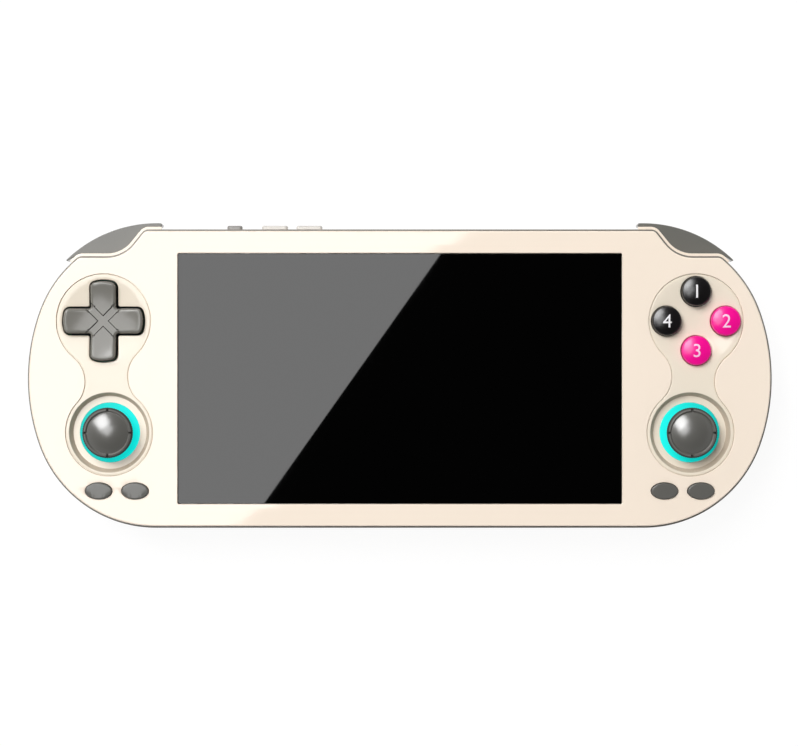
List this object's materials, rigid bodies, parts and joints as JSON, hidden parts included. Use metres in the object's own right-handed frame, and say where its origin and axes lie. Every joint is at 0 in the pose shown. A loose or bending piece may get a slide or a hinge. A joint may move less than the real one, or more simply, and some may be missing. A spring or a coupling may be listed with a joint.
{
  "type": "handheld game console",
  "caption": "Handheld game console with rounded ends: wide black screen between a direction pad, action buttons and two thumb sticks, with shoulder buttons on the top corners.",
  "frame": {"origin": "middle of the flat back, which the console lies on", "axes": "+X to the player's right, +Y to the top edge with the shoulder buttons, +Z out of the screen"},
  "size_m": [0.1864, 0.0765, 0.021],
  "materials": {
    "cream_shell": "gloss",
    "cream_plate": "gloss",
    "dark_trim": "matte",
    "lens": "polished",
    "display": "matte",
    "flex": "satin",
    "board": "satin",
    "tinned_steel": "satin",
    "cell": "satin",
    "black_steel": "satin",
    "white_plastic": "satin",
    "silicone": "matte",
    "grey_button": "satin",
    "dark_button": "satin",
    "cap": "satin",
    "black_button": "gloss",
    "pink_button": "gloss",
    "black_plastic": "matte",
    "cream_key": "gloss",
    "light": "translucent, lit from below"
  },
  "bodies": {
    "console_body": {"front_shell": "cream_shell", "rear_shell": "cream_shell", "edge_trim": "dark_trim", "left_control_plate": "cream_plate", "right_control_plate": "cream_plate", "screen_lens": "lens", "lcd_panel": "display", "lcd_ribbon": "flex", "main_board": "board", "processor_shield": "tinned_steel", "battery": "cell", "dpad_post": "white_plastic", "dpad_membrane": "silicone", "action_membrane": "silicone", "left_oval_membrane": "silicone", "right_oval_membrane": "silicone", "left_stick_base": "tinned_steel", "right_stick_base": "tinned_steel", "left_light_ring": "light", "right_light_ring": "light", "left_led_board": "board", "right_led_board": "board", "left_shoulder_pin": "tinned_steel", "right_shoulder_pin": "tinned_steel", "shoulder_switches": "black_plastic", "key_switches": "black_plastic", "charging_port": "tinned_steel", "card_slot": "tinned_steel", "headphone_jack": "black_plastic", "left_speaker": "black_plastic", "right_speaker": "black_plastic", "case_screws": "black_steel", "board_screws": "tinned_steel"},
    "dpad_ball": {"dpad_ball": "white_plastic"},
    "dpad": {"dpad": "grey_button"},
    "button_north": {"button_north": "black_button"},
    "button_east": {"button_east": "pink_button"},
    "button_south": {"button_south": "pink_button"},
    "button_west": {"button_west": "black_button"},
    "menu_button": {"menu_button": "grey_button"},
    "function_button": {"function_button": "grey_button"},
    "select_button": {"select_button": "dark_button"},
    "start_button": {"start_button": "dark_button"},
    "left_gimbal": {"left_stick_gimbal": "black_plastic"},
    "left_stick": {"left_stick_cap": "cap", "left_stick_shaft": "tinned_steel"},
    "right_gimbal": {"right_stick_gimbal": "black_plastic"},
    "right_stick": {"right_stick_cap": "cap", "right_stick_shaft": "tinned_steel"},
    "left_bumper": {"left_bumper": "grey_button"},
    "left_trigger": {"left_trigger": "grey_button"},
    "right_bumper": {"right_bumper": "dark_button"},
    "right_trigger": {"right_trigger": "dark_button"},
    "power_button": {"power_button": "grey_button"},
    "volume_up_button": {"volume_up_button": "cream_key"},
    "volume_down_button": {"volume_down_button": "cream_key"}
  },
  "joints": [
    {"name": "dpad_tilt_up_down", "type": "hinge", "parent": "console_body", "child": "dpad_ball", "pos_m": [-0.0741, 0.0144, 0.0124], "axis": [1, 0, 0], "range_deg": [-4.5, 4.5], "stiffness_Nm_per_rad": 0.15, "deforming": ["dpad_membrane"]},
    {"name": "dpad_tilt_left_right", "type": "hinge", "parent": "dpad_ball", "child": "dpad", "pos_m": [-0.0741, 0.0144, 0.0124], "axis": [0, 1, 0], "range_deg": [-4.5, 4.5], "stiffness_Nm_per_rad": 0.15, "deforming": ["dpad_membrane"]},
    {"name": "button_north_press", "type": "slide", "parent": "console_body", "child": "button_north", "axis": [0, 0, -1], "range_m": [0, 0.0012], "stiffness_N_per_m": 500, "deforming": ["action_membrane"]},
    {"name": "button_east_press", "type": "slide", "parent": "console_body", "child": "button_east", "axis": [0, 0, -1], "range_m": [0, 0.0012], "stiffness_N_per_m": 500, "deforming": ["action_membrane"]},
    {"name": "button_south_press", "type": "slide", "parent": "console_body", "child": "button_south", "axis": [0, 0, -1], "range_m": [0, 0.0012], "stiffness_N_per_m": 500, "deforming": ["action_membrane"]},
    {"name": "button_west_press", "type": "slide", "parent": "console_body", "child": "button_west", "axis": [0, 0, -1], "range_m": [0, 0.0012], "stiffness_N_per_m": 500, "deforming": ["action_membrane"]},
    {"name": "menu_press", "type": "slide", "parent": "console_body", "child": "menu_button", "axis": [0, 0, -1], "range_m": [0, 0.0006], "stiffness_N_per_m": 500, "deforming": ["left_oval_membrane"]},
    {"name": "function_press", "type": "slide", "parent": "console_body", "child": "function_button", "axis": [0, 0, -1], "range_m": [0, 0.0006], "stiffness_N_per_m": 500, "deforming": ["left_oval_membrane"]},
    {"name": "select_press", "type": "slide", "parent": "console_body", "child": "select_button", "axis": [0, 0, -1], "range_m": [0, 0.0006], "stiffness_N_per_m": 500, "deforming": ["right_oval_membrane"]},
    {"name": "start_press", "type": "slide", "parent": "console_body", "child": "start_button", "axis": [0, 0, -1], "range_m": [0, 0.0006], "stiffness_N_per_m": 500, "deforming": ["right_oval_membrane"]},
    {"name": "left_stick_up_down", "type": "hinge", "parent": "console_body", "child": "left_gimbal", "pos_m": [-0.0727, -0.0135, 0.0114], "axis": [1, 0, 0], "range_deg": [-13, 13], "stiffness_Nm_per_rad": 0.05},
    {"name": "left_stick_left_right", "type": "hinge", "parent": "left_gimbal", "child": "left_stick", "pos_m": [-0.0727, -0.0135, 0.0114], "axis": [0, 1, 0], "range_deg": [-13, 13], "stiffness_Nm_per_rad": 0.05},
    {"name": "right_stick_up_down", "type": "hinge", "parent": "console_body", "child": "right_gimbal", "pos_m": [0.0727, -0.0135, 0.0114], "axis": [1, 0, 0], "range_deg": [-13, 13], "stiffness_Nm_per_rad": 0.05},
    {"name": "right_stick_left_right", "type": "hinge", "parent": "right_gimbal", "child": "right_stick", "pos_m": [0.0727, -0.0135, 0.0114], "axis": [0, 1, 0], "range_deg": [-13, 13], "stiffness_Nm_per_rad": 0.05},
    {"name": "left_bumper_press", "type": "hinge", "parent": "console_body", "child": "left_bumper", "pos_m": [-0.06244, 0.0346, 0.0109], "axis": [0, 0, 1], "range_deg": [0, 3.4], "stiffness_Nm_per_rad": 0.5},
    {"name": "left_trigger_press", "type": "hinge", "parent": "console_body", "child": "left_trigger", "pos_m": [-0.06244, 0.0346, 0.0065], "axis": [0, 0, 1], "range_deg": [0, 3.4], "stiffness_Nm_per_rad": 0.5},
    {"name": "right_bumper_press", "type": "hinge", "parent": "console_body", "child": "right_bumper", "pos_m": [0.06244, 0.0346, 0.0109], "axis": [0, 0, -1], "range_deg": [0, 3.4], "stiffness_Nm_per_rad": 0.5},
    {"name": "right_trigger_press", "type": "hinge", "parent": "console_body", "child": "right_trigger", "pos_m": [0.06244, 0.0346, 0.0065], "axis": [0, 0, -1], "range_deg": [0, 3.4], "stiffness_Nm_per_rad": 0.5},
    {"name": "power_press", "type": "slide", "parent": "console_body", "child": "power_button", "axis": [0, -1, 0], "range_m": [0, 0.0004], "stiffness_N_per_m": 800},
    {"name": "volume_up_press", "type": "slide", "parent": "console_body", "child": "volume_up_button", "axis": [0, -1, 0], "range_m": [0, 0.0004], "stiffness_N_per_m": 800},
    {"name": "volume_down_press", "type": "slide", "parent": "console_body", "child": "volume_down_button", "axis": [0, -1, 0], "range_m": [0, 0.0004], "stiffness_N_per_m": 800}
  ]
}
